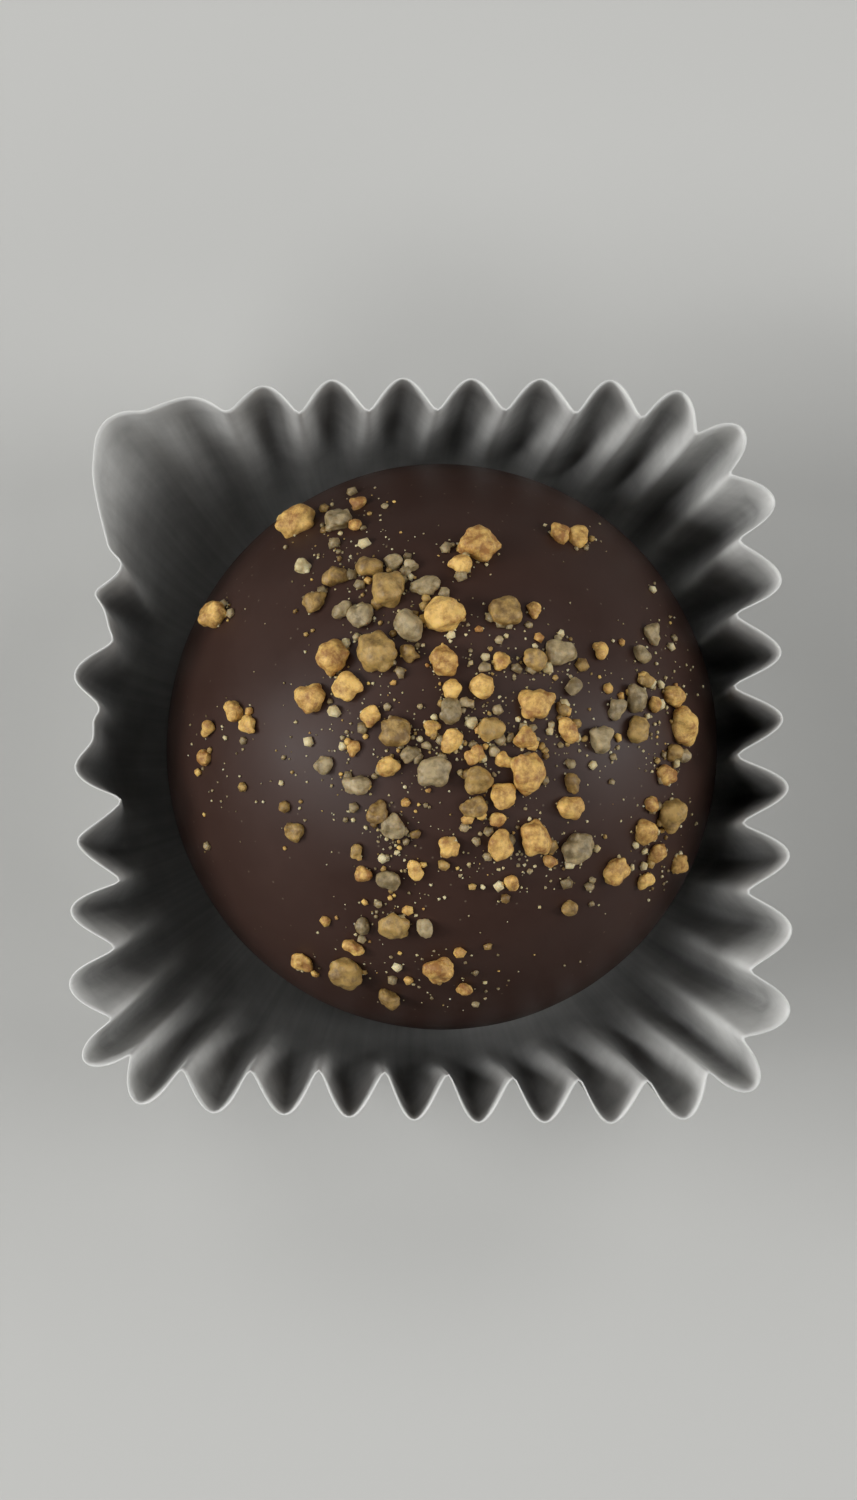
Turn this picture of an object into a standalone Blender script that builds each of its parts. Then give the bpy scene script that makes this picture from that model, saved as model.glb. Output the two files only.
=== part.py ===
"""A chocolate truffle with brittle grains on its crown, standing in its fluted paper case.

Metres, +Z up out of the case, +X and +Y along the sides of its square rim. The origin is on the
surface that the case stands on, under the middle of the rim.
"""

import math
import random

import bmesh
import bpy
from mathutils import Matrix, Vector, noise

MM = 0.001
GOLDEN_TURN = math.pi * (3 - math.sqrt(5))

# The truffle: a dipped ball, a little longer than it is wide, which has settled on a flat foot.
TRUFFLE_WIDTH = 29.8 * MM
TRUFFLE_LENGTH = 30.6 * MM
TRUFFLE_HEIGHT = 24.0 * MM
GIRTH_HEIGHT = 9.5 * MM
FOOT_RADIUS = 11.0 * MM
TRUFFLE_CENTRE = Vector((0.9 * MM, 0.35 * MM, 0))
LUMP_DEPTH = 0.14 * MM
LUMP_SPAN = 9.0 * MM
TRUFFLE_SEGMENTS = 40
CROWN_RINGS = 10
FLANK_RINGS = 5

# The grains: lumps of nut brittle, pressed into the chocolate while it was soft.
LARGEST_GRAIN = 2.5 * MM
SMALLEST_GRAIN = 0.95 * MM
GRAIN_SHAPES = 6
GRAIN_CORNERS = 17
GRAIN_STAND = 0.17
GRAIN_SEED = 18277
GRAIN_REACH = 0.95
GRAIN_CROWDING = 0.4
GRAIN_FALL = 0.8
# Where they landed: each group's middle, along X and Y from the truffle's own middle, how far the
# group spreads along X and Y, and how many grains it holds.
GRAIN_GROUPS = (
    (0.8 * MM, -0.5 * MM, 2.3 * MM, 1.6 * MM, 22),
    (6.8 * MM, 0.6 * MM, 1.6 * MM, 1.6 * MM, 7),
    (0.7 * MM, 6.0 * MM, 1.6 * MM, 0.4 * MM, 3),
    (4.0 * MM, 4.0 * MM, 2.0 * MM, 0.6 * MM, 6),
    (-4.3 * MM, 3.6 * MM, 1.5 * MM, 0.9 * MM, 4),
    (-5.5 * MM, -0.1 * MM, 1.3 * MM, 2.3 * MM, 5),
    (-3.2 * MM, -5.5 * MM, 0.8 * MM, 1.2 * MM, 5),
    (1.9 * MM, -6.1 * MM, 1.6 * MM, 1.0 * MM, 6),
    (6.1 * MM, -6.4 * MM, 1.2 * MM, 1.0 * MM, 4),
    (11.2 * MM, -5.2 * MM, 0.8 * MM, 1.4 * MM, 6),
    (11.5 * MM, 1.7 * MM, 0.8 * MM, 2.5 * MM, 8),
    (7.0 * MM, 10.9 * MM, 0.6 * MM, 0.4 * MM, 2),
    (1.0 * MM, 9.4 * MM, 0.7 * MM, 0.4 * MM, 2),
    (-3.8 * MM, 8.2 * MM, 1.6 * MM, 1.3 * MM, 10),
    (-5.8 * MM, 11.3 * MM, 1.2 * MM, 1.4 * MM, 5),
    (-12.1 * MM, 7.1 * MM, 0.3 * MM, 0.3 * MM, 1),
    (-8.9 * MM, -2.5 * MM, 1.3 * MM, 2.0 * MM, 2),
    (-12.7 * MM, -1.5 * MM, 0.5 * MM, 1.6 * MM, 2),
    (-3.6 * MM, -9.3 * MM, 1.2 * MM, 0.5 * MM, 3),
    (-1.6 * MM, -12.2 * MM, 2.6 * MM, 0.9 * MM, 5),
    (-7.6 * MM, -11.9 * MM, 0.3 * MM, 0.3 * MM, 1),
)

# The case: a disc of greaseproof paper, pressed between fluted dies and then into a square cell.
FLUTES = 36
FLOOR_RADIUS = 15.2 * MM
WALL_PAPER = 18.6 * MM
RIM_HALF_WIDTH = 18.0 * MM
RIM_HALF_LENGTH = 18.85 * MM
RIM_SQUARENESS = 6
FOOT_ROUND = 0.035
FLUTE_START = 0.1
FOLD_SOFTNESS = 0.2
PAPER = 0.3 * MM
FOLD_SIDES = 6
FLAT_SHARE = 0.9
WALL_ROWS = (0.0, 0.05, 0.13, 0.3, 0.6, 1.0)
REST_GAP = 0.3 * MM

# The flutes are even along the square rim more than in angle, so they turn towards its corners.
FIRST_FLUTE = math.radians(-1.4)
TURN_TO_CORNERS = math.radians(2.1)
SLOPE_STEP = math.radians(0.5)

# What handling did to the flutes: an angle, how far round it reaches, and how much. It pushed them
# along the rim, in radians, opened or deepened them, as a share, and pulled them out, in metres.
PUSHED_FLUTES = (
    (math.radians(188), math.radians(35), math.radians(10.5)),
    (math.radians(182), math.radians(9), math.radians(1.8)),
    (math.radians(254), math.radians(35), math.radians(5)),
    (math.radians(43), math.radians(41), math.radians(2)),
)
CHANGED_FLUTES = (
    (math.radians(85), math.radians(38), -0.3),
    (math.radians(135), math.radians(17), -0.8),
    (math.radians(153), math.radians(4), 1.2),
    (math.radians(153), math.radians(10), -1.0),
    (math.radians(177), math.radians(4.5), -1.1),
)
PULLED_FLUTES = (
    (math.radians(136), math.radians(8), 1.5 * MM),
    (math.radians(119), math.radians(14), -0.25 * MM),
    (math.radians(153), math.radians(9), -1.2 * MM),
    (math.radians(223), math.radians(9.5), 1.05 * MM),
    (math.radians(316), math.radians(13), 0.95 * MM),
    (math.radians(14), math.radians(23), -0.6 * MM),
    (math.radians(248), math.radians(23), -0.45 * MM),
    (math.radians(195), math.radians(7), -0.45 * MM),
)


def clear_scene():
    for obj in list(bpy.data.objects):
        bpy.data.objects.remove(obj)


def finish_of(name, colour, roughness):
    material = bpy.data.materials.new(name)
    material.use_nodes = True
    shader = material.node_tree.nodes["Principled BSDF"]
    shader.inputs["Base Color"].default_value = (*colour, 1)
    shader.inputs["Roughness"].default_value = roughness
    shader.inputs["Metallic"].default_value = 0
    return material


def add_object(name, mesh, material, collection=None):
    mesh.materials.append(material)
    obj = bpy.data.objects.new(name, mesh)
    (collection or bpy.context.scene.collection).objects.link(obj)
    return obj


def mesh_of(name, shape):
    mesh = bpy.data.meshes.new(name)
    shape.to_mesh(mesh)
    shape.free()
    return mesh


# The truffle's form

def girth_shares(share):
    """One quarter of the outline: the radius and the height as shares of what they span."""
    return math.cos(share * math.pi / 2), math.sin(share * math.pi / 2)


def truffle_outline():
    """The outline from the middle of the foot, past the girth, to the crown."""
    radius = TRUFFLE_WIDTH / 2
    points = [Vector((0, 0, 0))]
    for ring in range(FLANK_RINGS):
        out, down = girth_shares(1 - ring / FLANK_RINGS)
        reach = FOOT_RADIUS + (radius - FOOT_RADIUS) * out
        points.append(Vector((reach, 0, GIRTH_HEIGHT * (1 - down))))
    for ring in range(CROWN_RINGS + 1):
        out, rise = girth_shares(ring / CROWN_RINGS)
        height = GIRTH_HEIGHT + (TRUFFLE_HEIGHT - GIRTH_HEIGHT) * rise
        points.append(Vector((radius * out, 0, height)))
    points[-1].x = 0
    return points


def lump(point):
    """How far the chocolate stands proud of the true outline at a point, less near the flat foot."""
    fade = min(1, point.z / GIRTH_HEIGHT)
    return LUMP_DEPTH * fade * noise.noise(point / LUMP_SPAN)


def truffle_body():
    shape = bmesh.new()
    points = [shape.verts.new(p) for p in truffle_outline()]
    edges = [shape.edges.new(pair) for pair in zip(points, points[1:])]
    bmesh.ops.spin(
        shape, geom=points + edges, cent=(0, 0, 0), axis=(0, 0, 1),
        angle=2 * math.pi, steps=TRUFFLE_SEGMENTS,
    )
    bmesh.ops.remove_doubles(shape, verts=shape.verts, dist=0.01 * MM)
    for vert in shape.verts:
        middle = Vector((0, 0, GIRTH_HEIGHT))
        vert.co += (vert.co - middle).normalized() * lump(vert.co)
        vert.co.y *= TRUFFLE_LENGTH / TRUFFLE_WIDTH
    bmesh.ops.recalc_face_normals(shape, faces=shape.faces)
    return mesh_of("truffle", shape)


def crown_point(across, up):
    """The place and the outward direction of the crown's surface, over a point of the plan."""
    half_width, half_length = TRUFFLE_WIDTH / 2, TRUFFLE_LENGTH / 2
    rise = TRUFFLE_HEIGHT - GIRTH_HEIGHT
    share = (across / half_width) ** 2 + (up / half_length) ** 2
    height = rise * math.sqrt(max(0, 1 - share))
    outward = Vector((across / half_width**2, up / half_length**2, height / rise**2))
    return Vector((across, up, GIRTH_HEIGHT + height)), outward.normalized()


# The grains

def grain_places():
    """(place, outward, size, turn, shape) of each grain, the largest first, with their middles apart."""
    draw = random.Random(GRAIN_SEED)
    groups = [g for g in GRAIN_GROUPS for _ in range(g[4])]
    draw.shuffle(groups)
    placed = []
    for number, (across, up, spread_across, spread_up, _) in enumerate(groups):
        fall = (number / (len(groups) - 1)) ** GRAIN_FALL
        size = LARGEST_GRAIN * (SMALLEST_GRAIN / LARGEST_GRAIN) ** fall
        while True:
            x, y = draw.gauss(across, spread_across), draw.gauss(up, spread_up)
            reach = math.hypot(x / (TRUFFLE_WIDTH / 2), y / (TRUFFLE_LENGTH / 2))
            if reach > GRAIN_REACH:
                continue
            place, outward = crown_point(x, y)
            if all((place - p).length > GRAIN_CROWDING * (size + s) for p, _, s, _, _ in placed):
                break
        turn = draw.uniform(0, 2 * math.pi)
        placed.append((place, outward, size, turn, draw.randrange(GRAIN_SHAPES)))
    return placed


def grain_shape(number):
    """A broken crumb one unit long: the hull of corners spread over a squat ball, each pushed in or out."""
    draw = random.Random(number)
    width, height = draw.uniform(0.76, 0.95), draw.uniform(0.64, 0.8)
    shape = bmesh.new()
    for corner in range(GRAIN_CORNERS):
        rise = 1 - (2 * corner + 1) / GRAIN_CORNERS
        turn = corner * GOLDEN_TURN + draw.uniform(-0.3, 0.3)
        out = math.sqrt(1 - rise**2)
        point = Vector((out * math.cos(turn), out * math.sin(turn) * width, rise * height))
        shape.verts.new(point * draw.uniform(0.43, 0.54))
    hull = bmesh.ops.convex_hull(shape, input=shape.verts)
    bmesh.ops.delete(shape, geom=hull["geom_interior"] + hull["geom_unused"], context="VERTS")
    bmesh.ops.recalc_face_normals(shape, faces=shape.faces)
    return mesh_of(f"grain_shape_{number}", shape)


def add_grains(material):
    """The collection of all the grains, each an object at its place on the truffle."""
    grains = bpy.data.collections.new("grains")
    bpy.context.scene.collection.children.link(grains)
    shapes = [grain_shape(number) for number in range(GRAIN_SHAPES)]
    for number, (place, outward, size, turn, shape) in enumerate(grain_places()):
        grain = add_object(f"grain_{number}", shapes[shape].copy(), material, grains)
        stand = outward.to_track_quat("Z", "Y").to_matrix().to_4x4()
        centre = place + outward * size * GRAIN_STAND
        spin = Matrix.Rotation(turn, 4, "Z")
        grain.matrix_world = Matrix.Translation(centre) @ stand @ spin @ Matrix.Scale(size, 4)
    return grains


def make_truffle():
    chocolate = finish_of("dark_chocolate", (0.045, 0.027, 0.021), 0.45)
    brittle = finish_of("nut_brittle", (0.42, 0.27, 0.11), 0.55)
    truffle = add_object("truffle", truffle_body(), chocolate)
    grains = add_grains(brittle)
    fuse = truffle.modifiers.new("fuse_grains", "BOOLEAN")
    fuse.operation = "UNION"
    fuse.operand_type = "COLLECTION"
    fuse.solver = "MANIFOLD"
    fuse.collection = grains
    bpy.context.view_layer.update()
    graph = bpy.context.evaluated_depsgraph_get()
    fused = bpy.data.meshes.new_from_object(truffle.evaluated_get(graph))
    truffle.modifiers.clear()
    truffle.data = fused
    for grain in list(grains.objects):
        bpy.data.objects.remove(grain)
    bpy.data.collections.remove(grains)
    truffle.location = TRUFFLE_CENTRE + Vector((0, 0, PAPER + REST_GAP))
    return truffle


# The paper case

def bumps(angle, features):
    """The sum of smooth humps, each with its own angle, width and amount, at an angle."""
    total = 0
    for centre, width, amount in features:
        away = (angle - centre + math.pi) % (2 * math.pi) - math.pi
        total += amount * math.exp(-((away / width) ** 2))
    return total


def rim_reach(angle):
    """How far the rim's middle line is from the axis: a rounded square, with its corners pulled."""
    across = abs(math.cos(angle)) / RIM_HALF_WIDTH
    up = abs(math.sin(angle)) / RIM_HALF_LENGTH
    square = (across**RIM_SQUARENESS + up**RIM_SQUARENESS) ** (-1 / RIM_SQUARENESS)
    return square + bumps(angle, PULLED_FLUTES)


def case_point(turn, climb):
    """A point of the case's middle surface. turn counts flutes round it, and climb is the share of the
    wall's paper from the floor's edge to the rim. The flutes take up what a flat disc has too much of,
    and they stand square to the wall's own line."""
    even = FIRST_FLUTE + 2 * math.pi * turn / FLUTES
    angle = even + TURN_TO_CORNERS * math.sin(4 * even) + bumps(even, PUSHED_FLUTES)
    flare = rim_reach(angle) - FLOOR_RADIUS
    round_off = FOOT_ROUND * math.asinh(climb / FOOT_ROUND)
    round_off -= FOOT_ROUND * math.asinh(1 / FOOT_ROUND) * climb
    middle = FLOOR_RADIUS + flare * climb + WALL_PAPER * round_off
    paper = 2 * math.pi * (FLOOR_RADIUS + WALL_PAPER * climb) / FLUTES
    pitch = 2 * math.pi * middle / FLUTES
    depth = math.sqrt(max(0, paper**2 - pitch**2)) / 2
    depth *= max(0, 1 + bumps(angle, CHANGED_FLUTES))
    depth *= climb**2 / (climb**2 + FLUTE_START**2)
    fold = math.hypot(math.sin(math.pi * turn), FOLD_SOFTNESS) - FOLD_SOFTNESS
    fold /= math.hypot(1, FOLD_SOFTNESS) - FOLD_SOFTNESS
    out = depth * (fold - 0.5)
    widening = rim_reach(angle + SLOPE_STEP) - rim_reach(angle - SLOPE_STEP)
    square_on = angle - math.atan(climb * widening / (2 * SLOPE_STEP * middle))
    rise = math.sqrt(WALL_PAPER**2 - (flare + out) ** 2)
    height = rise * (math.hypot(climb, FOOT_ROUND) - FOOT_ROUND)
    across = middle * math.cos(angle) + out * math.cos(square_on)
    up = middle * math.sin(angle) + out * math.sin(square_on)
    return Vector((across, up, height + PAPER / 2))


def case_sheet():
    """The middle surface of the paper, in triangles, so that both its faces split alike."""
    around = FLUTES * FOLD_SIDES
    edge = [case_point(step / FOLD_SIDES, 0) for step in range(around)]
    shape = bmesh.new()
    middle = shape.verts.new((0, 0, PAPER / 2))
    # This ring keeps the floor truly flat inside it, where the thickness would bend with the wall.
    rows = [[shape.verts.new((FLAT_SHARE * p.x, FLAT_SHARE * p.y, PAPER / 2)) for p in edge]]
    rows += [
        [shape.verts.new(case_point(step / FOLD_SIDES, climb)) for step in range(around)]
        for climb in WALL_ROWS
    ]
    for step in range(around):
        after = (step + 1) % around
        shape.faces.new((middle, rows[0][step], rows[0][after]))
        for low, high in zip(rows, rows[1:]):
            shape.faces.new((low[step], high[step], high[after]))
            shape.faces.new((low[step], high[after], low[after]))
    bmesh.ops.recalc_face_normals(shape, faces=shape.faces)
    return mesh_of("paper_case", shape)


def make_case():
    paper = finish_of("greaseproof_paper", (0.22, 0.22, 0.21), 0.5)
    case = add_object("paper_case", case_sheet(), paper)
    wall = case.modifiers.new("paper_thickness", "SOLIDIFY")
    wall.thickness = PAPER
    wall.offset = 0
    return case


clear_scene()
make_case()
make_truffle()
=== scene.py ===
"""A chocolate truffle with nut brittle on its crown, in its fluted paper case, in the row frame.

Metres, +Z up out of the case. The sections follow the truffle as it is made up: the case, the dipped
chocolate set into it, the brittle pressed into the chocolate, and the crumbs and dust that fell with it.
"""

import math
import random
from collections import namedtuple
from functools import partial

import bmesh
import bpy
from mathutils import Matrix, Vector


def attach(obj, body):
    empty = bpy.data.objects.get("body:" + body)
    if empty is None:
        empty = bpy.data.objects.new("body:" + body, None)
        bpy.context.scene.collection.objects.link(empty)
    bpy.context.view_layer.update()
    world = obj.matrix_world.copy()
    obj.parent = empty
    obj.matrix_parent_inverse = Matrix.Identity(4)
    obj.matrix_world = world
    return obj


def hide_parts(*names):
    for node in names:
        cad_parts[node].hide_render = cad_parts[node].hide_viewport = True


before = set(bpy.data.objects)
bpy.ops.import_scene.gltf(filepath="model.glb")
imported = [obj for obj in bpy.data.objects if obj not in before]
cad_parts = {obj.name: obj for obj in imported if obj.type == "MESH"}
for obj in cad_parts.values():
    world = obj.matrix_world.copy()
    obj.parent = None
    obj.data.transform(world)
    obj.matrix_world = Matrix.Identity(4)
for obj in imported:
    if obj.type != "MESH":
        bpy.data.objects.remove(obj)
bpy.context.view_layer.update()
MM = 0.001


# The paper case. A disc of thin greaseproof paper is pressed between fluted dies, which leaves a flat
# round floor and a wall of 36 flutes, and its rim is then pressed to a rounded square. Handling has
# pushed some flutes along, opened the upper left corner and tucked one in.

CASE_SIZES = {
    "Flutes": 36.0,
    "Sides per flute": 18,
    "Wall rows": 56,
    "Floor radius": 15.2 * MM,
    "Wall paper": 18.6 * MM,
    "Rim half width": 18.0 * MM,
    "Rim half length": 18.85 * MM,
    "Rim squareness": 6.0,
    "Turn to corners": math.radians(2.1),
    "Foot rounding": 0.035,
    "Flute start": 0.1,
    "Fold softness": 0.2,
    "Softness at foot": 0.3,
    "Deeper at foot": 0.4,
    "Broad ridges": 0.6,
    "Ridges from rim": 6.0,
    "Uneven flutes": 0.14,
    "Ragged edge": 0.12 * MM,
    "Paper": 0.08 * MM,
}
FIRST_FLUTE = math.radians(-1.4)
# What handling did to the flutes. A row gives where its middle is, how far round it reaches, and how much
# it is: pushed along in radians, changed in depth as a share, and pulled outwards in metres.
PUSHED_FLUTES = (
    (math.radians(188), math.radians(35), math.radians(10.5)),
    (math.radians(182), math.radians(9), math.radians(1.8)),
    (math.radians(254), math.radians(35), math.radians(5)),
    (math.radians(43), math.radians(41), math.radians(2)),
)
CHANGED_FLUTES = (
    (math.radians(85), math.radians(38), -0.3),
    (math.radians(135), math.radians(17), -0.8),
    (math.radians(153), math.radians(4), 1.2),
    (math.radians(153), math.radians(10), -1.0),
    (math.radians(177), math.radians(4.5), -1.1),
)
PULLED_FLUTES = (
    (math.radians(136), math.radians(8), 1.5 * MM),
    (math.radians(119), math.radians(14), -0.25 * MM),
    (math.radians(153), math.radians(9), -1.2 * MM),
    (math.radians(223), math.radians(9.5), 1.05 * MM),
    (math.radians(316), math.radians(13), 0.95 * MM),
    (math.radians(14), math.radians(23), -0.6 * MM),
    (math.radians(248), math.radians(23), -0.45 * MM),
    (math.radians(195), math.radians(7), -0.45 * MM),
)


def linear(code):
    """The linear colour of an sRGB hex code."""
    shares = [int(code[i:i + 2], 16) / 255 for i in (0, 2, 4)]
    return (*(s / 12.92 if s <= 0.04045 else ((s + 0.055) / 1.055) ** 2.4 for s in shares), 1)


def node(tree, kind, *values, out=0, **settings):
    """Adds a node of this kind, or a Math node where kind is one of its operations, and gives one of its
    outputs. values are numbers or outputs, in the order of the inputs, or one dict by input."""
    made = tree.nodes.new("ShaderNodeMath" if kind.isupper() else kind)
    if kind.isupper():
        made.operation = kind
    for name, setting in settings.items():
        setattr(made, name, setting)
    by_input = values[0] if values and isinstance(values[0], dict) else dict(enumerate(values))
    for name, value in by_input.items():
        if isinstance(value, bpy.types.NodeSocket):
            tree.links.new(value, made.inputs[name])
        elif value is not None:
            made.inputs[name].default_value = value
    return made.outputs[out]


def new_rule(name, sizes):
    """A Geometry Nodes tree with these named inputs, and the outputs that give them inside it."""
    tree = bpy.data.node_groups.new(name, "GeometryNodeTree")
    tree.interface.new_socket("Piece", in_out="OUTPUT", socket_type="NodeSocketGeometry")
    tree.interface.new_socket("Base", in_out="INPUT", socket_type="NodeSocketGeometry")
    kinds = {float: "Float", int: "Int", bpy.types.Material: "Material", bpy.types.Collection: "Collection"}
    for label, value in sizes.items():
        tree.interface.new_socket(label, in_out="INPUT", socket_type=f"NodeSocket{kinds[type(value)]}")
    return tree, tree.nodes.new("NodeGroupInput").outputs


def end_rule(tree, shape, material):
    """Ends the tree: instances made real, smooth, and in their material."""
    shape = node(tree, "GeometryNodeRealizeInstances", shape)
    shape = node(tree, "GeometryNodeSetShadeSmooth", shape)
    shape = node(tree, "GeometryNodeSetMaterial", {"Geometry": shape, "Material": material})
    tree.links.new(shape, tree.nodes.new("NodeGroupOutput").inputs[0])


def make_by(tree, name, sizes, base=None):
    """The plain mesh object that the tree makes from a base mesh with these sizes."""
    piece = bpy.data.objects.new(name, base or bpy.data.meshes.new(name))
    bpy.context.scene.collection.objects.link(piece)
    rule = piece.modifiers.new("rule", "NODES")
    rule.node_group = tree
    for socket in tree.interface.items_tree:
        if socket.name in sizes:
            rule[socket.identifier] = sizes[socket.name]
    graph = bpy.context.evaluated_depsgraph_get()
    made = bpy.data.meshes.new_from_object(piece.evaluated_get(graph))
    piece.modifiers.clear()
    piece.data = made
    made.name = name
    return piece


def bumps(step, angle, features):
    """The sum of smooth humps, each with its own angle, width and amount, at an angle."""
    total = 0.0
    for centre, width, amount in features:
        away = step("WRAP", step("SUBTRACT", angle, centre), math.pi, -math.pi)
        share = step("DIVIDE", away, width)
        hump = step("EXPONENT", step("MULTIPLY", share, step("MULTIPLY", share, -1.0)))
        total = step("MULTIPLY_ADD", hump, amount, total)
    return total


# Greaseproof paper: beaten fibres let a little light through, so the sheet is a soft grey. Its inner ridges
# are pale with painted light and its grooves dark with painted shade, the dies draw fine streaks along the
# ridges, and the cut rim is pale with painted light.
# The fibres are drawn 0.25 mm wide and the streaks 0.4 mm, because real ones are too fine to show.
CLOUD_SPAN = 1.6 * MM
FIBRE_SPAN = 0.25 * MM
STREAK_SPAN = 0.42 * MM
# The wall's mean radius turns a span along the wall into a pattern's scale on a circle of radius 1.
WALL_RADIUS = 16.6 * MM
# How much of the tone from dark to pale the streaks and the clouds move it.
STREAK_SHARE = 0.55
CLOUD_SHARE = 0.5
# How far up the wall the painted light along the rim starts, where it is full, and how pale it makes the
# paper.
RIM_LIGHT_START = 0.82
RIM_LIGHT_FULL = 0.99
RIM_LIGHT_PALENESS = 0.95
greaseproof = bpy.data.materials.new("calendered_greaseproof_paper")
greaseproof.use_nodes = True
paint = greaseproof.node_tree
dye = partial(node, paint)
shader = paint.nodes["Principled BSDF"]
place = dye("ShaderNodeTexCoord", out=3)
cloud = dye("ShaderNodeTexNoise", {"Vector": place, "Scale": 1 / CLOUD_SPAN, "Detail": 4.0, "Roughness": 0.6})
fibre = dye("ShaderNodeTexNoise", {"Vector": place, "Scale": 1 / FIBRE_SPAN, "Detail": 3.0, "Roughness": 0.7})
# How far up the wall a point is, and the painted light on the folds' ridges and painted shade in their
# grooves, from the case's tree.
climb, ridge = (dye("ShaderNodeAttribute", attribute_name=n, out=2) for n in ("climb", "ridge"))
around = dye("ShaderNodeAttribute", attribute_name="around", out=1)
streak = dye(
    "ShaderNodeTexNoise",
    {"Vector": around, "Scale": WALL_RADIUS / STREAK_SPAN, "Detail": 2.0, "Roughness": 0.6},
)
shade = dye("MULTIPLY_ADD", dye("SUBTRACT", streak, 0.5), STREAK_SHARE, ridge)
# Painted light along the rim: the paper is paler over the top of the wall.
painted_rim_light = dye("ShaderNodeMapRange", {0: climb, 1: RIM_LIGHT_START, 2: RIM_LIGHT_FULL, 3: 0.0, 4: RIM_LIGHT_PALENESS})
shade = dye("MAXIMUM", shade, painted_rim_light)
mottled = dye("MULTIPLY_ADD", dye("SUBTRACT", cloud, 0.5), CLOUD_SHARE, shade)
tone = dye(
    "ShaderNodeMix", {0: mottled, 6: linear("8a8a88"), 7: linear("d2d2cf")}, out=2, data_type="RGBA"
)
paint.links.new(tone, shader.inputs["Base Color"])
paint.links.new(
    dye("ShaderNodeMapRange", {0: fibre, 1: 0.3, 2: 0.7, 3: 0.46, 4: 0.6}), shader.inputs["Roughness"]
)
bump = dye("ShaderNodeBump", {"Strength": 0.25, "Distance": 0.02 * MM, "Height": fibre})
paint.links.new(bump, shader.inputs["Normal"])
shader.inputs["IOR"].default_value = 1.46
shader.inputs["Subsurface Weight"].default_value = 0.35
shader.inputs["Subsurface Radius"].default_value = (1.0, 1.0, 1.0)
shader.inputs["Subsurface Scale"].default_value = 0.12 * MM

FLOOR_ROWS = 1 / 8
ROW_CROWDING = 1.4
# How far to each side the line of the wall is read to find its slope.
SLOPE_STEP = math.radians(0.5)
# The span of what makes the flutes unlike each other, and how much more it deepens them than it leans them.
UNEVEN_SPAN = 4.8 * MM
DEEPER_THAN_IT_LEANS = 2.0
# The span of the nicks in the cut edge, and the power of the climb that keeps them to the edge.
NICK_SPAN = 0.24 * MM
NICKS_FADE = 30.0
# How far the streaks' pattern rises over the whole wall, on the circle that it runs round.
STREAK_RISE = 0.05
# How fast the painted light on a flute's ridge and the painted shade in its groove grow with its depth, and
# the most that they get.
FOLD_SHADE_GAIN = 1.4
FOLD_SHADE_MOST = 0.9
SEAM_GAP = 0.002 * MM
case_sizes = {**CASE_SIZES, "Paper finish": greaseproof}
tree, given = new_rule("pressed_and_fluted_disc", case_sizes)
step = partial(node, tree)
columns = step("MULTIPLY_ADD", given["Flutes"], given["Sides per flute"], 1.0)
sheet = step("GeometryNodeMeshGrid", 1.0, 1.0, columns, given["Wall rows"])
spot = step("ShaderNodeSeparateXYZ", step("GeometryNodeInputPosition")).node.outputs
turn = step("MULTIPLY", step("ADD", spot[0], 0.5), given["Flutes"])
# The first eighth of the rows lie on the floor, and the rest crowd towards its edge.
share = step("MULTIPLY_ADD", spot[1], 1 / (1 - FLOOR_ROWS), (0.5 - FLOOR_ROWS) / (1 - FLOOR_ROWS))
on_floor = step("MINIMUM", step("MULTIPLY_ADD", spot[1], 1 / FLOOR_ROWS, 0.5 / FLOOR_ROWS), 1.0)
climb = step("POWER", step("MAXIMUM", share, 0.0), ROW_CROWDING)
even = step("MULTIPLY_ADD", turn, step("DIVIDE", 2 * math.pi, given["Flutes"]), FIRST_FLUTE)
to_corners = step("MULTIPLY", step("SINE", step("MULTIPLY", even, 4.0)), given["Turn to corners"])
angle = step("ADD", step("ADD", even, to_corners), bumps(step, even, PUSHED_FLUTES))


def rim_reach(angle):
    """How far the rim's middle line is from the axis: a rounded square, pulled here and there."""
    square = 0.0
    for wave, half in (("COSINE", given["Rim half width"]), ("SINE", given["Rim half length"])):
        part = step("DIVIDE", step("ABSOLUTE", step(wave, angle)), half)
        square = step("ADD", step("POWER", part, given["Rim squareness"]), square)
    square = step("POWER", square, step("DIVIDE", -1.0, given["Rim squareness"]))
    return step("ADD", square, bumps(step, angle, PULLED_FLUTES))


rim = rim_reach(angle)
flare = step("SUBTRACT", rim, given["Floor radius"])


def inverse_sinh(value):
    """The inverse hyperbolic sine of a value, by which the wall leaves the floor in a round foot."""
    root = step("SQRT", step("MULTIPLY_ADD", value, value, 1.0))
    return step("LOGARITHM", step("ADD", value, root), math.e)


turn_up = inverse_sinh(step("DIVIDE", climb, given["Foot rounding"]))
whole = inverse_sinh(step("DIVIDE", 1.0, given["Foot rounding"]))
round_off = step("SUBTRACT", turn_up, step("MULTIPLY", whole, climb))
round_off = step("MULTIPLY", step("MULTIPLY", round_off, given["Foot rounding"]), given["Wall paper"])
floor_part = step("MULTIPLY", given["Floor radius"], on_floor)
middle = step("ADD", step("MULTIPLY_ADD", flare, climb, round_off), floor_part)
flat = step("MULTIPLY_ADD", given["Wall paper"], climb, given["Floor radius"])
spare = step("SUBTRACT", step("MULTIPLY", flat, flat), step("MULTIPLY", middle, middle))
depth = step("SQRT", step("MAXIMUM", spare, 0.0))
depth = step("MULTIPLY", depth, step("DIVIDE", math.pi, given["Flutes"]))
changed = step("MAXIMUM", step("ADD", bumps(step, angle, CHANGED_FLUTES), 1.0), 0.0)
depth = step("MULTIPLY", depth, changed)
deeper = step("MULTIPLY_ADD", step("SUBTRACT", 1.0, climb), given["Deeper at foot"], 1.0)
depth = step("MULTIPLY", depth, deeper)
climb_squared = step("MULTIPLY", climb, climb)
start_squared = step("MULTIPLY", given["Flute start"], given["Flute start"])
pressed = step("DIVIDE", climb_squared, step("ADD", climb_squared, start_squared))
depth = step("MULTIPLY", depth, pressed)
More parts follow.
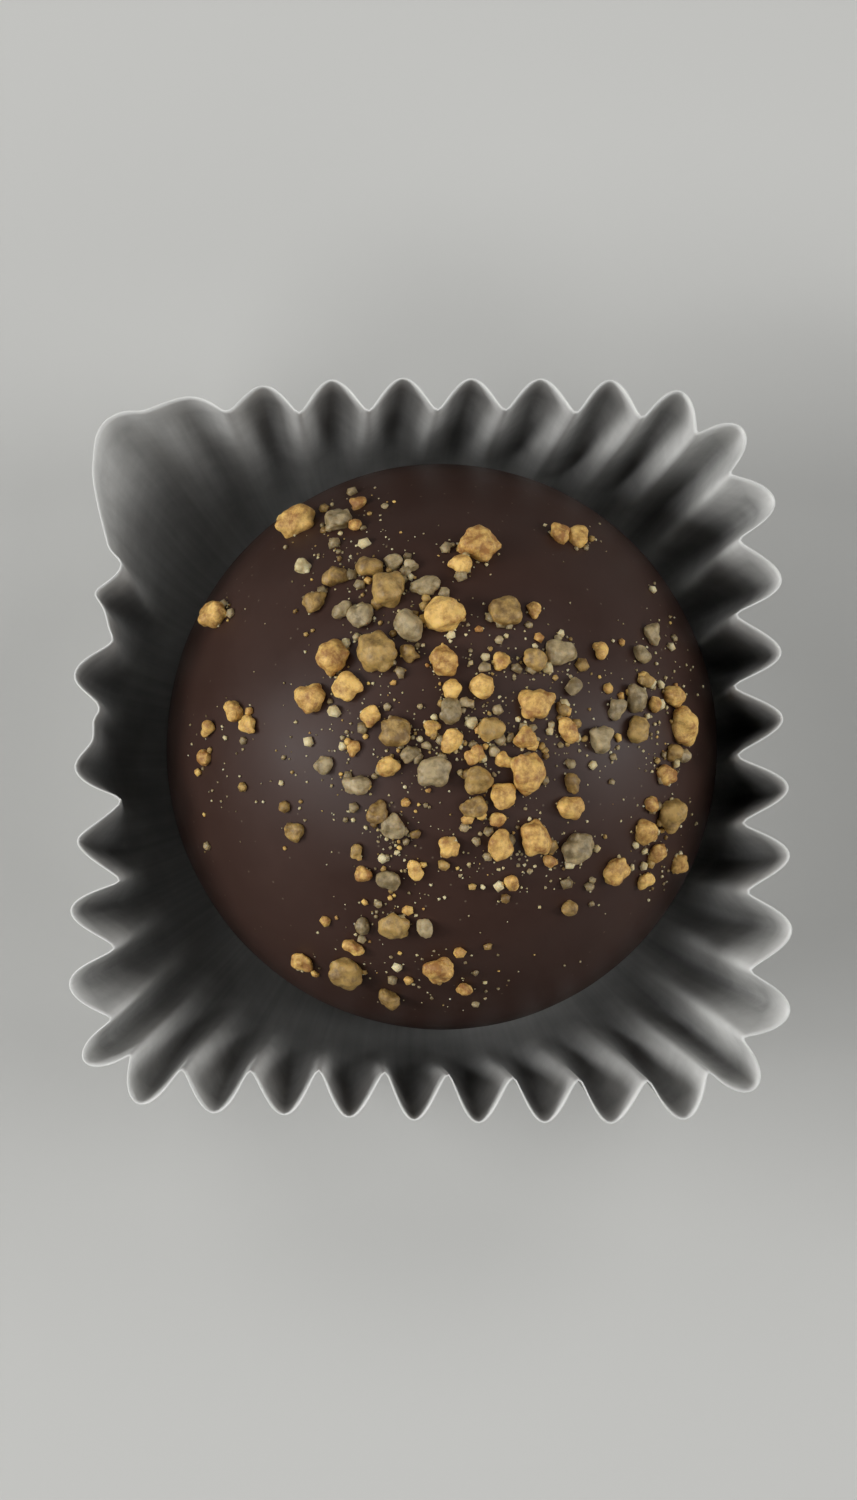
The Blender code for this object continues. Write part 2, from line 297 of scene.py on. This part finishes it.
# No two flutes are quite alike: each is a little deeper or shallower, and leans to one side. The
# pattern runs on a circle, so that it meets itself where the sheet closes.
circle = step("ShaderNodeCombineXYZ", step("COSINE", even), step("SINE", even))
wander = step("ShaderNodeTexNoise", {"Vector": circle, "Scale": WALL_RADIUS / UNEVEN_SPAN, "Detail": 1.0})
wander = step("MULTIPLY", step("SUBTRACT", wander, 0.5), given["Uneven flutes"])
depth = step("MULTIPLY", depth, step("MULTIPLY_ADD", wander, DEEPER_THAN_IT_LEANS, 1.0))
leaning = step("MULTIPLY_ADD", wander, climb, turn)
# The folds are sharp inwards at the rim, and open into broad ridges towards the foot.
softness = step("MULTIPLY", step("SUBTRACT", 1.0, climb), given["Softness at foot"])
softness = step("ADD", softness, given["Fold softness"])
softness_squared = step("MULTIPLY", softness, softness)
highest = step("SUBTRACT", step("SQRT", step("ADD", softness_squared, 1.0)), softness)


def soft_fold(wave):
    """A wave's height without its sign, rounded where it crosses zero, from 0 to 1."""
    fold = step("SQRT", step("MULTIPLY_ADD", wave, wave, softness_squared))
    return step("DIVIDE", step("SUBTRACT", fold, softness), highest)


phase = step("MULTIPLY", leaning, math.pi)
sharp_inwards = soft_fold(step("SINE", phase))
broad_inwards = step("SUBTRACT", 1.0, soft_fold(step("COSINE", phase)))
broad_share = step("SUBTRACT", 1.0, step("POWER", climb, given["Ridges from rim"]))
broad_share = step("MULTIPLY", broad_share, given["Broad ridges"])
fold = step("MULTIPLY_ADD", step("SUBTRACT", broad_inwards, sharp_inwards), broad_share, sharp_inwards)
out = step("MULTIPLY", depth, step("SUBTRACT", fold, 0.5))
# The flutes stand square to the wall's own line, which is round at the floor and square at the rim.
widening = step(
    "SUBTRACT", rim_reach(step("ADD", angle, SLOPE_STEP)), rim_reach(step("SUBTRACT", angle, SLOPE_STEP))
)
slope = step("DIVIDE", step("MULTIPLY", widening, climb), step("MULTIPLY", middle, 2 * SLOPE_STEP))
square_on = step("SUBTRACT", angle, step("ARCTANGENT", slope))
spread = step("ADD", flare, out)
wall_squared = step("MULTIPLY", given["Wall paper"], given["Wall paper"])
rise = step("SQRT", step("SUBTRACT", wall_squared, step("MULTIPLY", spread, spread)))
rounding_squared = step("MULTIPLY", given["Foot rounding"], given["Foot rounding"])
lift = step("SQRT", step("ADD", climb_squared, rounding_squared))
lift = step("SUBTRACT", lift, given["Foot rounding"])
height = step("MULTIPLY_ADD", rise, lift, step("MULTIPLY", given["Paper"], 0.5))
# The cut edge is a little ragged, about 0.5 mm from nick to nick.
nick = step("ShaderNodeTexNoise", {"Vector": circle, "Scale": WALL_RADIUS / NICK_SPAN, "Detail": 2.0})
nick = step("MULTIPLY", step("SUBTRACT", nick, 0.5), given["Ragged edge"])
height = step("MULTIPLY_ADD", nick, step("POWER", climb, NICKS_FADE), height)
across, up = (
    step("MULTIPLY_ADD", out, step(wave, square_on), step("MULTIPLY", middle, step(wave, angle)))
    for wave in ("COSINE", "SINE")
)
point = step("ShaderNodeCombineXYZ", across, up, height)
# Painted light and shade on the flutes: a ridge pale and a groove dark, and an even middle tone on the floor
# and where a flute is opened out.
fold_shade_strength = step("MINIMUM", step("MULTIPLY", changed, FOLD_SHADE_GAIN), FOLD_SHADE_MOST)
fold_shade_strength = step("MULTIPLY", pressed, fold_shade_strength)
ridge = step("MULTIPLY_ADD", step("SUBTRACT", 0.5, fold), fold_shade_strength, 0.5)
# The streaks run on the same circle, and change so little on the way up that each is some 9 mm long.
around = step(
    "ShaderNodeCombineXYZ", step("COSINE", even), step("SINE", even), step("MULTIPLY", climb, STREAK_RISE)
)
# The folds' painted light and shade is stored with the climb and the streaks' place, for the paper's
# material.
stored = (("climb", "FLOAT", climb), ("ridge", "FLOAT", ridge), ("around", "FLOAT_VECTOR", around))
for label, kind, value in stored:
    sheet = step(
        "GeometryNodeStoreNamedAttribute", {"Geometry": sheet, "Name": label, "Value": value},
        data_type=kind, domain="POINT",
    )
sheet = step("GeometryNodeSetPosition", {"Geometry": sheet, "Position": point})
sheet = step("GeometryNodeMergeByDistance", {"Geometry": sheet, "Distance": SEAM_GAP})
end_rule(tree, sheet, given["Paper finish"])

paper_case = make_by(tree, "paper_case_sheet", case_sizes)
thick = paper_case.modifiers.new("paper_thickness", "SOLIDIFY")
thick.thickness = CASE_SIZES["Paper"]
thick.offset = 0
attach(paper_case, "root")
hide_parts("paper_case")


# The chocolate. A ball of ganache, dipped in dark chocolate and set down on a flat foot, a little
# longer than it is wide. The shell has the faint unevenness of a dip that set as it drained.

SHELL_SIZES = {
    "Width": 29.8 * MM,
    "Length": 30.6 * MM,
    "Height": 24.0 * MM,
    "Girth height": 9.5 * MM,
    "Foot radius": 11.0 * MM,
    "Lump depth": 0.16 * MM,
    "Lump span": 9.0 * MM,
    "Segments": 220,
    "Rings": 130,
}
TRUFFLE_PLACE = Vector((0.9 * MM, 0.35 * MM, 0.6 * MM))

# Dark couverture: deep brown, satin where it set slowly, clouded by a trace of bloom, and specked with
# the finest sugar dust, drawn here at 0.1 mm because the real specks are too fine to show.
BLOOM_SPAN = 5 * MM
SURFACE_GRAIN = 0.18 * MM
SPECK_SPACING = 0.8 * MM
# A speck's solid middle and its soft edge, as shares of the spacing, and how much it covers.
SPECK_MIDDLE = 0.05
SPECK_EDGE = 0.09
SPECK_COVER = 0.35
couverture = bpy.data.materials.new("dark_couverture_satin")
couverture.use_nodes = True
paint = couverture.node_tree
dye = partial(node, paint)
shader = paint.nodes["Principled BSDF"]
place = dye("ShaderNodeTexCoord", out=3)
bloom = dye(
    "ShaderNodeTexNoise", {"Vector": place, "Scale": 1 / BLOOM_SPAN, "Detail": 5.0, "Roughness": 0.62}
)
grain = dye(
    "ShaderNodeTexNoise", {"Vector": place, "Scale": 1 / SURFACE_GRAIN, "Detail": 3.0, "Roughness": 0.65}
)
speck = dye("ShaderNodeTexVoronoi", {"Vector": place, "Scale": 1 / SPECK_SPACING})
speck = dye("ShaderNodeMapRange", {0: speck, 1: SPECK_MIDDLE, 2: SPECK_EDGE, 3: SPECK_COVER, 4: 0.0})
tone = dye("ShaderNodeMix", {0: bloom, 6: linear("301f19"), 7: linear("412d26")}, out=2, data_type="RGBA")
tone = dye("ShaderNodeMix", {0: speck, 6: tone, 7: linear("8a7c68")}, out=2, data_type="RGBA")
paint.links.new(tone, shader.inputs["Base Color"])
paint.links.new(
    dye("ShaderNodeMapRange", {0: bloom, 1: 0.3, 2: 0.7, 3: 0.42, 4: 0.52}), shader.inputs["Roughness"]
)
bump = dye("ShaderNodeBump", {"Strength": 0.12, "Distance": 0.02 * MM, "Height": grain})
paint.links.new(bump, shader.inputs["Normal"])
shader.inputs["IOR"].default_value = 1.45
shader.inputs["Specular IOR Level"].default_value = 0.25

shell_sizes = {**SHELL_SIZES, "Chocolate": couverture}
tree, given = new_rule("dipped_ball_on_a_foot", shell_sizes)
step = partial(node, tree)
ball = step("GeometryNodeMeshUVSphere", given["Segments"], given["Rings"], 1.0)
spot = step("ShaderNodeSeparateXYZ", step("GeometryNodeInputPosition")).node.outputs
half = step("MULTIPLY", given["Width"], 0.5)
out = step("SQRT", step("MULTIPLY_ADD", spot[0], spot[0], step("MULTIPLY", spot[1], spot[1])))
flank = step("MULTIPLY_ADD", step("SUBTRACT", half, given["Foot radius"]), out, given["Foot radius"])
flank = step("DIVIDE", flank, out)
below = step("LESS_THAN", spot[2], 0.0)
reach = step("MULTIPLY_ADD", below, step("SUBTRACT", flank, half), half)
rise = step("SUBTRACT", given["Height"], given["Girth height"])
span = step("MULTIPLY_ADD", below, step("SUBTRACT", given["Girth height"], rise), rise)
height = step("MULTIPLY_ADD", spot[2], span, given["Girth height"])
longer = step("DIVIDE", given["Length"], given["Width"])
point = step(
    "ShaderNodeCombineXYZ", step("MULTIPLY", spot[0], reach),
    step("MULTIPLY", step("MULTIPLY", spot[1], reach), longer), height,
)
ball = step("GeometryNodeSetPosition", {"Geometry": ball, "Position": point})
lump = step("ShaderNodeTexNoise", {"Scale": step("DIVIDE", 1.0, given["Lump span"]), "Detail": 2.0})
lump = step("MULTIPLY", step("SUBTRACT", lump, 0.5), given["Lump depth"])
lump = step("MULTIPLY", lump, step("MINIMUM", step("DIVIDE", height, given["Girth height"]), 1.0))
push = step("ShaderNodeVectorMath", {0: step("GeometryNodeInputNormal"), "Scale": lump}, operation="SCALE")
ball = step("GeometryNodeSetPosition", {"Geometry": ball, "Offset": push})
ball = step("GeometryNodeTransform", {"Geometry": ball, "Translation": TRUFFLE_PLACE})
end_rule(tree, ball, given["Chocolate"])

shell = make_by(tree, "dipped_chocolate", shell_sizes)
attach(shell, "root")
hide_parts("truffle")


# The brittle. Nuts and sugar are cooked, set and crushed, and the grains are strewn over the soft
# chocolate, which holds them by their undersides. They lie thickest right of the middle of the crown.

LARGEST_GRAIN = 2.5 * MM
SMALLEST_GRAIN = 0.95 * MM
GRAIN_SHAPES = 6
GRAIN_CORNERS = 17
GRAIN_CUTS = 5
GRAIN_SEED = 18277
# As shares of a grain's size: how far its middle stands off the chocolate, and keeps from the next one's.
GRAIN_STAND = 0.17
GRAIN_CROWDING = 0.4
# How near the girth a grain may lie, as a share, and how the sizes fall off: less makes more small ones.
GRAIN_REACH = 0.95
GRAIN_FALL = 0.8
# A grain one unit long: how wide and how high it is, how far out its corners are, and how far round
# each may stray.
GRAIN_WIDTHS = (0.76, 0.95)
GRAIN_HEIGHTS = (0.64, 0.8)
CORNER_REACHES = (0.43, 0.54)
CORNER_STRAY = (-0.3, 0.3)
# Where they landed: each group's middle, along X and Y from the truffle's own middle, how far the
# group spreads along X and Y, how many grains it holds, and how much of it is sugar and not nut.
GRAIN_GROUPS = (
    (0.8 * MM, -0.5 * MM, 2.3 * MM, 1.6 * MM, 22, 0.35),
    (6.8 * MM, 0.6 * MM, 1.6 * MM, 1.6 * MM, 7, 0.6),
    (0.7 * MM, 6.0 * MM, 1.6 * MM, 0.4 * MM, 3, 0.2),
    (4.0 * MM, 4.0 * MM, 2.0 * MM, 0.6 * MM, 6, 0.6),
    (-4.3 * MM, 3.6 * MM, 1.5 * MM, 0.9 * MM, 4, 0.5),
    (-5.5 * MM, -0.1 * MM, 1.3 * MM, 2.3 * MM, 5, 0.7),
    (-3.2 * MM, -5.5 * MM, 0.8 * MM, 1.2 * MM, 5, 0.8),
    (1.9 * MM, -6.1 * MM, 1.6 * MM, 1.0 * MM, 6, 0.3),
    (6.1 * MM, -6.4 * MM, 1.2 * MM, 1.0 * MM, 4, 0.4),
    (11.2 * MM, -5.2 * MM, 0.8 * MM, 1.4 * MM, 6, 0.1),
    (11.5 * MM, 1.7 * MM, 0.8 * MM, 2.5 * MM, 8, 0.35),
    (7.0 * MM, 10.9 * MM, 0.6 * MM, 0.4 * MM, 2, 0.0),
    (1.0 * MM, 9.4 * MM, 0.7 * MM, 0.4 * MM, 2, 0.4),
    (-3.8 * MM, 8.2 * MM, 1.6 * MM, 1.3 * MM, 10, 0.85),
    (-5.8 * MM, 11.3 * MM, 1.2 * MM, 1.4 * MM, 5, 0.1),
    (-12.1 * MM, 7.1 * MM, 0.3 * MM, 0.3 * MM, 1, 0.2),
    (-8.9 * MM, -2.5 * MM, 1.3 * MM, 2.0 * MM, 2, 0.3),
    (-12.7 * MM, -1.5 * MM, 0.5 * MM, 1.6 * MM, 2, 0.3),
    (-3.6 * MM, -9.3 * MM, 1.2 * MM, 0.5 * MM, 3, 0.7),
    (-1.6 * MM, -12.2 * MM, 2.6 * MM, 0.9 * MM, 5, 0.4),
    (-7.6 * MM, -11.9 * MM, 0.3 * MM, 0.3 * MM, 1, 0.0),
)
Grain = namedtuple("Grain", "place outward size turn shape sugar")


def crown_point(across, up):
    """The place and the outward direction of the crown's surface, over a point of the plan."""
    half_width, half_length = SHELL_SIZES["Width"] / 2, SHELL_SIZES["Length"] / 2
    rise = SHELL_SIZES["Height"] - SHELL_SIZES["Girth height"]
    share = (across / half_width) ** 2 + (up / half_length) ** 2
    height = rise * math.sqrt(max(0, 1 - share))
    outward = Vector((across / half_width**2, up / half_length**2, height / rise**2))
    return Vector((across, up, SHELL_SIZES["Girth height"] + height)), outward.normalized()


def strewn(seed, largest, smallest, many=1.0, widen=1.0, crowding=GRAIN_CROWDING, fall_off=GRAIN_FALL):
    """Grains from the largest to the smallest, clear of each other's middles, this many times as many
    as the groups say, and spread this much wider."""
    draw = random.Random(seed)
    groups = [g for g in GRAIN_GROUPS for _ in range(round(g[4] * many))]
    draw.shuffle(groups)
    placed = []
    for number, (across, up, spread_across, spread_up, _, sugar) in enumerate(groups):
        fall = (number / (len(groups) - 1)) ** fall_off
        size = largest * (smallest / largest) ** fall
        while True:
            x, y = draw.gauss(across, spread_across * widen), draw.gauss(up, spread_up * widen)
            reach = math.hypot(x / (SHELL_SIZES["Width"] / 2), y / (SHELL_SIZES["Length"] / 2))
            if reach > GRAIN_REACH:
                continue
            place, outward = crown_point(x, y)
            if all((place - p.place).length > crowding * (size + p.size) for p in placed):
                break
        turn = draw.uniform(0, 2 * math.pi)
        placed.append(Grain(place, outward, size, turn, draw.randrange(GRAIN_SHAPES), sugar))
    return placed


def grain_shape(number, corners, cuts):
    """A broken crumb one unit long: the hull of corners over a squat ball, each pushed in or out, with
    each face split by this many cuts and worn a little round."""
    draw = random.Random(number)
    width, height = draw.uniform(*GRAIN_WIDTHS), draw.uniform(*GRAIN_HEIGHTS)
    shape = bmesh.new()
    for corner in range(corners):
        rise = 1 - (2 * corner + 1) / corners
        turn = corner * math.pi * (3 - math.sqrt(5)) + draw.uniform(*CORNER_STRAY)
        out = math.sqrt(1 - rise**2)
        point = Vector((out * math.cos(turn), out * math.sin(turn) * width, rise * height))
        shape.verts.new(point * draw.uniform(*CORNER_REACHES))
    hull = bmesh.ops.convex_hull(shape, input=shape.verts)
    bmesh.ops.delete(shape, geom=hull["geom_interior"] + hull["geom_unused"], context="VERTS")
    if cuts:
        reach = max(v.co.length for v in shape.verts)
        bmesh.ops.subdivide_edges(shape, edges=shape.edges, cuts=cuts, use_grid_fill=True)
        for _ in range(cuts):
            bmesh.ops.smooth_vert(
                shape, verts=shape.verts, factor=0.5, use_axis_x=True, use_axis_y=True, use_axis_z=True
            )
        regained = reach / max(v.co.length for v in shape.verts)
        bmesh.ops.scale(shape, vec=(regained,) * 3, verts=shape.verts)
    bmesh.ops.recalc_face_normals(shape, faces=shape.faces)
    mesh = bpy.data.meshes.new(f"grain_shape_{number}")
    shape.to_mesh(mesh)
    shape.free()
    return bpy.data.objects.new(mesh.name, mesh)


def shape_tray(name, corners, cuts=0):
    """A collection of the grain shapes, for a tree to pick from."""
    tray = bpy.data.collections.new(name)
    for number in range(GRAIN_SHAPES):
        tray.objects.link(grain_shape(number, corners, cuts))
    return tray


def points_of(grains, tones):
    """A mesh of one loose vertex for each grain, with its direction, size, turn, shape and tone."""
    mesh = bpy.data.meshes.new("grain_points")
    mesh.from_pydata([g.place + TRUFFLE_PLACE + g.outward * g.size * GRAIN_STAND for g in grains], [], [])
    columns = {
        "outward": ("FLOAT_VECTOR", "vector", [c for g in grains for c in g.outward]),
        "size": ("FLOAT", "value", [g.size for g in grains]),
        "turn": ("FLOAT", "value", [g.turn for g in grains]),
        "shape": ("INT", "value", [g.shape for g in grains]),
        "tone": ("FLOAT", "value", tones),
    }
    for name, (kind, field, values) in columns.items():
        mesh.attributes.new(name, kind, "POINT").data.foreach_set(field, values)
    return mesh


MOTTLE_SPAN = 0.6 * MM
MOTTLE_CONTRAST = 4.0
# The grit of a break.
BREAK_SPAN = 0.14 * MM
BREAK_DEPTH = 0.06 * MM
# The darkest that a grain's own tone is, from 0 to 1, and how far its draw moves it.
DARKEST_TONE = 0.2
TONE_RANGE = 0.6


def brittle_finish(name, dark, pale, roughness, clear):
    """Cooked sugar and nut: the tone runs from dark to pale from grain to grain, mottled within each, over
    a body that light enters, with the gritty breaks of a crushed piece."""
    material = bpy.data.materials.new(name)
    material.use_nodes = True
    paint = material.node_tree
    dye = partial(node, paint)
    shader = paint.nodes["Principled BSDF"]
    place = dye("ShaderNodeTexCoord", out=3)
    own = dye("ShaderNodeAttribute", attribute_name="tone", out=2)
    mottle = dye(
        "ShaderNodeTexNoise", {"Vector": place, "Scale": 1 / MOTTLE_SPAN, "Detail": 5.0, "Roughness": 0.7}
    )
    grit = dye(
        "ShaderNodeTexNoise", {"Vector": place, "Scale": 1 / BREAK_SPAN, "Detail": 3.0, "Roughness": 0.7}
    )
    own = dye("MULTIPLY_ADD", own, TONE_RANGE, DARKEST_TONE)
    share = dye("MULTIPLY_ADD", dye("SUBTRACT", mottle, 0.5), MOTTLE_CONTRAST, own)
    share = dye("MINIMUM", dye("MAXIMUM", share, 0.0), 1.0)
    tone = dye("ShaderNodeMix", {0: share, 6: linear(dark), 7: linear(pale)}, out=2, data_type="RGBA")
    paint.links.new(tone, shader.inputs["Base Color"])
    paint.links.new(
        dye("ShaderNodeMapRange", {0: grit, 1: 0.3, 2: 0.7, 3: roughness - 0.1, 4: roughness + 0.1}),
        shader.inputs["Roughness"],
    )
    bump = dye("ShaderNodeBump", {"Strength": 0.7, "Distance": BREAK_DEPTH, "Height": grit})
    paint.links.new(bump, shader.inputs["Normal"])
    shader.inputs["Subsurface Weight"].default_value = 0.3
    shader.inputs["Subsurface Radius"].default_value = (1.0, 0.7, 0.35)
    shader.inputs["Subsurface Scale"].default_value = 0.4 * MM
    shader.inputs["Transmission Weight"].default_value = clear
    shader.inputs["IOR"].default_value = 1.5
    return material


# Toasted nut brittle is golden and dull, amber brittle is cooked sugar that lets light in, clear sugar
# shows the dark chocolate through it, and pale nut is the raw white of the kernel. Each has its dark and
# pale tones, its roughness, how much light passes it, and its share of what is nut or is sugar.
KINDS = {
    "toasted_nut_brittle": ("966832", "e2ba6a", 0.6, 0.0, 0.88, 0.0),
    "pale_nut_kernel": ("bca878", "dccfa6", 0.6, 0.0, 0.12, 0.0),
    "amber_sugar_brittle": ("806232", "cca862", 0.5, 0.25, 0.0, 0.6),
    "clear_sugar_grains": ("8c7850", "d8c294", 0.45, 0.4, 0.0, 0.4),
}


def kinds_of(grains, seed, shares=None):
    """The kind and tone of each grain, drawn by these shares of each kind, or by its group's sugar. Pale
    and clear grains break small, so none of the largest is one."""
    draw = random.Random(seed)
    drawn = []
    for grain in grains:
        small = (LARGEST_GRAIN - grain.size) / (LARGEST_GRAIN - SMALLEST_GRAIN)
        rarity = (1, 2 * small, 1, 2 * small)
        by_group = [
            (nut * (1 - grain.sugar) + sugar * grain.sugar) * rare
            for (*_, nut, sugar), rare in zip(KINDS.values(), rarity)
        ]
        drawn.append((draw.choices(list(KINDS), shares or by_group)[0], draw.random()))
    return drawn


def add_strewn(tree, what, sizes, grains, drawn):
    """One piece for each kind, made by the tree from the grains of that kind."""
    pieces = []
    for kind_name in KINDS:
        chosen = [(grain, tone) for grain, (kind, tone) in zip(grains, drawn) if kind == kind_name]
        base = points_of([grain for grain, _ in chosen], [tone for _, tone in chosen])
        own_sizes = {**sizes, "Finish": bpy.data.materials[kind_name]}
        pieces.append(make_by(tree, f"{kind_name}_{what}", own_sizes, base))
        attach(pieces[-1], "root")
    return pieces


for kind_name, (dark, pale, roughness, clear, _, _) in KINDS.items():
    brittle_finish(kind_name, dark, pale, roughness, clear)

grain_sizes = {
    "Grain shapes": shape_tray("grain_tray", GRAIN_CORNERS, GRAIN_CUTS),
    "Knob span": 0.85 * MM,
    "Knob depth": 0.42 * MM,
    "Grit span": 0.22 * MM,
    "Grit depth": 0.1 * MM,
    "Finish": bpy.data.materials["toasted_nut_brittle"],
}
# How soft the creases between a grain's lumps are, and how far from its middle a lump is level.
KNOB_SMOOTHNESS = 0.35
KNOB_LEVEL = 0.4
tree, given = new_rule("grains_on_their_places", grain_sizes)
step = partial(node, tree)
named = {
    label: step("GeometryNodeInputNamedAttribute", {"Name": label}, data_type=kind)
    for label, kind in (("outward", "FLOAT_VECTOR"), ("size", "FLOAT"), ("turn", "FLOAT"), ("shape", "INT"))
}
shapes = step(
    "GeometryNodeCollectionInfo",
    {"Collection": given["Grain shapes"], "Separate Children": True, "Reset Children": True},
)
stand = step("FunctionNodeAlignRotationToVector", {"Vector": named["outward"]}, axis="Z")
spin = step("FunctionNodeAxisAngleToRotation", {"Axis": (0.0, 0.0, 1.0), "Angle": named["turn"]})
stand = step("FunctionNodeRotateRotation", {"Rotation": stand, "Rotate By": spin}, rotation_space="LOCAL")
grains = step(
    "GeometryNodeInstanceOnPoints",
    {"Points": given["Base"], "Instance": shapes, "Pick Instance": True, "Instance Index": named["shape"],
     "Rotation": stand, "Scale": named["size"]},
)
grains = step("GeometryNodeRealizeInstances", grains)
# Each grain is a clump of smaller lumps with creases between them, and gritty where it broke.
knob = step(
    "ShaderNodeTexVoronoi", {"Scale": step("DIVIDE", 1.0, given["Knob span"]), "Smoothness": KNOB_SMOOTHNESS},
    feature="SMOOTH_F1",
)
knob = step("MULTIPLY", step("SUBTRACT", KNOB_LEVEL, knob), given["Knob depth"])
grit = step("ShaderNodeTexNoise", {"Scale": step("DIVIDE", 1.0, given["Grit span"]), "Detail": 1.0})
rough = step("MULTIPLY_ADD", step("SUBTRACT", grit, 0.5), given["Grit depth"], knob)
push = step("ShaderNodeVectorMath", {0: step("GeometryNodeInputNormal"), "Scale": rough}, operation="SCALE")
grains = step("GeometryNodeSetPosition", {"Geometry": grains, "Offset": push})
end_rule(tree, grains, given["Finish"])

KIND_SEED = 36946
all_grains = strewn(GRAIN_SEED, LARGEST_GRAIN, SMALLEST_GRAIN)
for grain_piece in add_strewn(tree, "grains", grain_sizes, all_grains, kinds_of(all_grains, KIND_SEED)):
    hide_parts("truffle")


# The crumbs and the dust. What broke off the brittle fell with it, wider than the grains, down to a
# fine dust, most of it clear sugar and pale nut: the crumbs lie on the chocolate, and the dust clings.

CRUMB_CORNERS = 12
DUST_CORNERS = 7
# How much of them is each kind, in the order of the kinds.
CRUMB_SHARES = (0.14, 0.26, 0.2, 0.4)
DUST_SHARES = (0.04, 0.5, 0.06, 0.4)
CRUMB_KIND_SEED = 6
DUST_KIND_SEED = 7
# The dust is drawn no finer than 0.09 mm, because real dust is too fine to show.
CRUMB_FALL = {
    "seed": 3,
    "largest": 0.9 * MM,
    "smallest": 0.22 * MM,
    "many": 4,
    "widen": 1.1,
    "crowding": 0.25,
    "fall_off": 1.0,
}
DUST_FALL = {
    "seed": 4,
    "largest": 0.3 * MM,
    "smallest": 0.09 * MM,
    "many": 12,
    "widen": 1.3,
    "crowding": 0.0,
    "fall_off": 0.7,
}
crumb_tray = shape_tray("crumb_tray", CRUMB_CORNERS)
crumb_sizes = {**grain_sizes, "Grain shapes": crumb_tray, "Knob depth": 0.0, "Grit depth": 0.0}
dust_sizes = {**crumb_sizes, "Grain shapes": shape_tray("dust_tray", DUST_CORNERS)}
crumbs = strewn(**CRUMB_FALL)
dust = strewn(**DUST_FALL)
add_strewn(tree, "crumbs", crumb_sizes, crumbs, kinds_of(crumbs, CRUMB_KIND_SEED, CRUMB_SHARES))
add_strewn(tree, "dust", dust_sizes, dust, kinds_of(dust, DUST_KIND_SEED, DUST_SHARES))


# The floor, eight soft round lights about the truffle, the strongest of them low at the left and the
# right, and the camera, which looks nearly straight down from a little left of and below the truffle.

FLOOR_REACH = 3.0
FLOOR_DROP = 0.05 * MM
floor_mesh = bpy.data.meshes.new("floor")
floor_corners = [(x * FLOOR_REACH, y * FLOOR_REACH, 0) for x, y in ((-1, -1), (1, -1), (1, 1), (-1, 1))]
floor_mesh.from_pydata(floor_corners, [], [(0, 1, 2, 3)])
floor = bpy.data.objects.new("floor", floor_mesh)
bpy.context.scene.collection.objects.link(floor)
floor.location.z = -FLOOR_DROP
# Matt paint, pale and without a pattern.
pale = bpy.data.materials.new("pale_floor")
pale.use_nodes = True
pale.node_tree.nodes["Principled BSDF"].inputs["Base Color"].default_value = linear("bebebb")
pale.node_tree.nodes["Principled BSDF"].inputs["Roughness"].default_value = 0.8
floor_mesh.materials.append(pale)

# Softboxes by where they stand: the angle round the truffle, how high up they are, and their watts.
SOFTBOXES = {
    "left": (180, 30, 4.2),
    "left_high": (212, 48, 1.6),
    "right_low": (0, 15, 1.7),
    "right": (0, 32, 1.35),
    "right_high": (5, 68, 0.55),
    "behind_right": (45, 46, 0.9),
    "behind_left": (135, 46, 0.8),
    "front_right": (315, 42, 0.7),
}
SOFTBOX_WIDTH = 0.35
SOFTBOX_DISTANCE = 0.8
SOFTBOX_AIM = Vector((0, 0, 15 * MM))
for name, (turn, height, watts) in SOFTBOXES.items():
    turn, height = math.radians(turn), math.radians(height)
    light = bpy.data.lights.new(f"{name}_softbox", "AREA")
    light.shape = "DISK"
    light.size = SOFTBOX_WIDTH
    light.energy = watts
    lamp = bpy.data.objects.new(light.name, light)
    out = math.cos(height)
    lamp.location = Vector((math.cos(turn) * out, math.sin(turn) * out, math.sin(height))) * SOFTBOX_DISTANCE
    lamp.rotation_euler = (SOFTBOX_AIM - lamp.location).to_track_quat("-Z", "Y").to_euler()
    bpy.context.scene.collection.objects.link(lamp)

ROOM_STRENGTH = 0.016
world = bpy.data.worlds.new("soft_room")
world.use_nodes = True
world.node_tree.nodes["Background"].inputs["Color"].default_value = linear("ffffff")
world.node_tree.nodes["Background"].inputs["Strength"].default_value = ROOM_STRENGTH
bpy.context.scene.world = world
bpy.context.scene.view_settings.view_transform = "Standard"

CAMERA_PLACE = (-20.4 * MM, -21.2 * MM, 470 * MM)
CAMERA_AIM = Vector((0, 0, 14 * MM))
SENSOR_WIDTH = 36
# What the picture takes in where the camera aims: its width there, and its height by its shape.
VIEW_WIDTH = 46 * MM
VIEW_HEIGHT = VIEW_WIDTH * 1500 / 857
lens = bpy.data.cameras.new("camera")
camera = bpy.data.objects.new("camera", lens)
camera.location = CAMERA_PLACE
aim = CAMERA_AIM - camera.location
to_right = aim.cross((0, 1, 0)).normalized()
to_top = to_right.cross(aim).normalized()
camera.rotation_euler = Matrix((to_right, to_top, -aim.normalized())).transposed().to_euler()
lens.sensor_width = SENSOR_WIDTH
lens.lens = SENSOR_WIDTH * aim.length / VIEW_HEIGHT
lens.clip_start = 0.01
bpy.context.scene.collection.objects.link(camera)
bpy.context.scene.camera = camera
